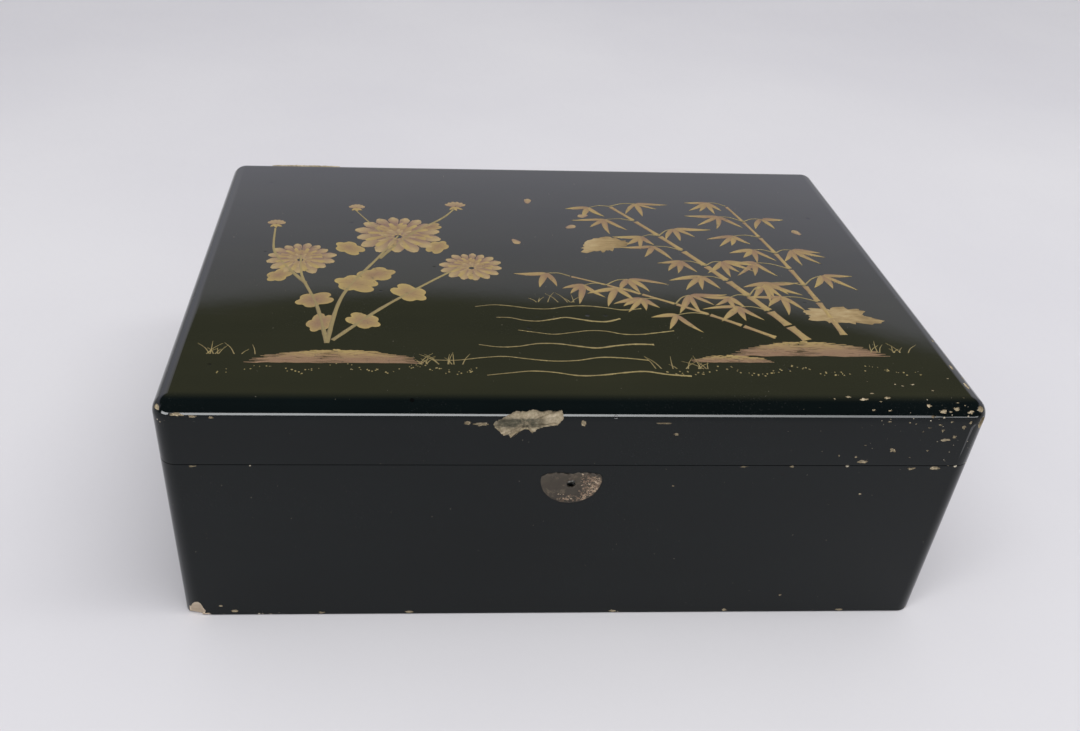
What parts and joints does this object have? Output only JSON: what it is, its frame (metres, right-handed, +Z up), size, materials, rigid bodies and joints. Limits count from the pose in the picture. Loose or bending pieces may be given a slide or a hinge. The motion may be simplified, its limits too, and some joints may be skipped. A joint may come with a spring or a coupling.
{
  "type": "deed box",
  "caption": "Low rectangular lacquered box for papers, with a lid hinged at the back and a small cam lock behind a keyhole plate in the front.",
  "frame": {"origin": "middle of the underside, on the table", "axes": "+X along the width, to the right seen from the keyhole side; +Y from the keyhole side to the hinges; +Z up"},
  "size_m": [0.303, 0.2122, 0.106],
  "materials": {
    "body_lacquer": "glossy black lacquer over wood, worn",
    "rail_lacquer": "glossy black lacquer over wood, worn",
    "lid_lacquer": "glossy black lacquer over wood, gilded and worn",
    "bottom_wood": "thin dull lacquer over wood",
    "hinge_brass": "aged, dull",
    "screw_brass": "aged, dull",
    "plate_bronze": "dark patina with crusted corrosion",
    "lock_brass": "sheet, dull",
    "lock_steel": "filed bright, greyed",
    "spring_steel": "blued"
  },
  "bodies": {
    "box_body": {"front_board": "body_lacquer", "back_board": "body_lacquer", "left_board": "body_lacquer", "right_board": "body_lacquer", "bottom_board": "bottom_wood", "hinge_left_body_leaf": "hinge_brass", "hinge_left_pin": "hinge_brass", "hinge_right_body_leaf": "hinge_brass", "hinge_right_pin": "hinge_brass", "hinge_body_screws": "screw_brass", "lock_plate": "plate_bronze", "lock_case": "lock_brass", "lock_cap": "lock_brass", "lock_spring": "spring_steel", "lock_screws": "screw_brass"},
    "lid": {"lid_front_rail": "rail_lacquer", "lid_back_rail": "rail_lacquer", "lid_left_rail": "rail_lacquer", "lid_right_rail": "rail_lacquer", "lid_top_board": "lid_lacquer", "hinge_left_lid_leaf": "hinge_brass", "hinge_right_lid_leaf": "hinge_brass", "hinge_lid_screws": "screw_brass", "strike_plate": "lock_brass", "strike_screws": "screw_brass"},
    "bolt": {"lock_bolt": "lock_steel"},
    "cam": {"lock_cam": "lock_steel"}
  },
  "joints": [
    {"name": "lid_hinge", "type": "hinge", "parent": "box_body", "child": "lid", "pos_m": [0, 0.1038, 0.079], "axis": [-1, 0, 0], "range_deg": [0, 98]},
    {"name": "cam_turn", "type": "hinge", "parent": "box_body", "child": "cam", "pos_m": [0, -0.1, 0.07], "axis": [0, 1, 0], "range_deg": [0, 64]},
    {"name": "bolt_slide", "type": "slide", "parent": "box_body", "child": "bolt", "axis": [1, 0, 0], "range_m": [0, 0.0036]}
  ],
  "couplings": [
    {"joint": "cam_turn", "follows": "bolt_slide", "rad_per_m": 309.97}
  ]
}
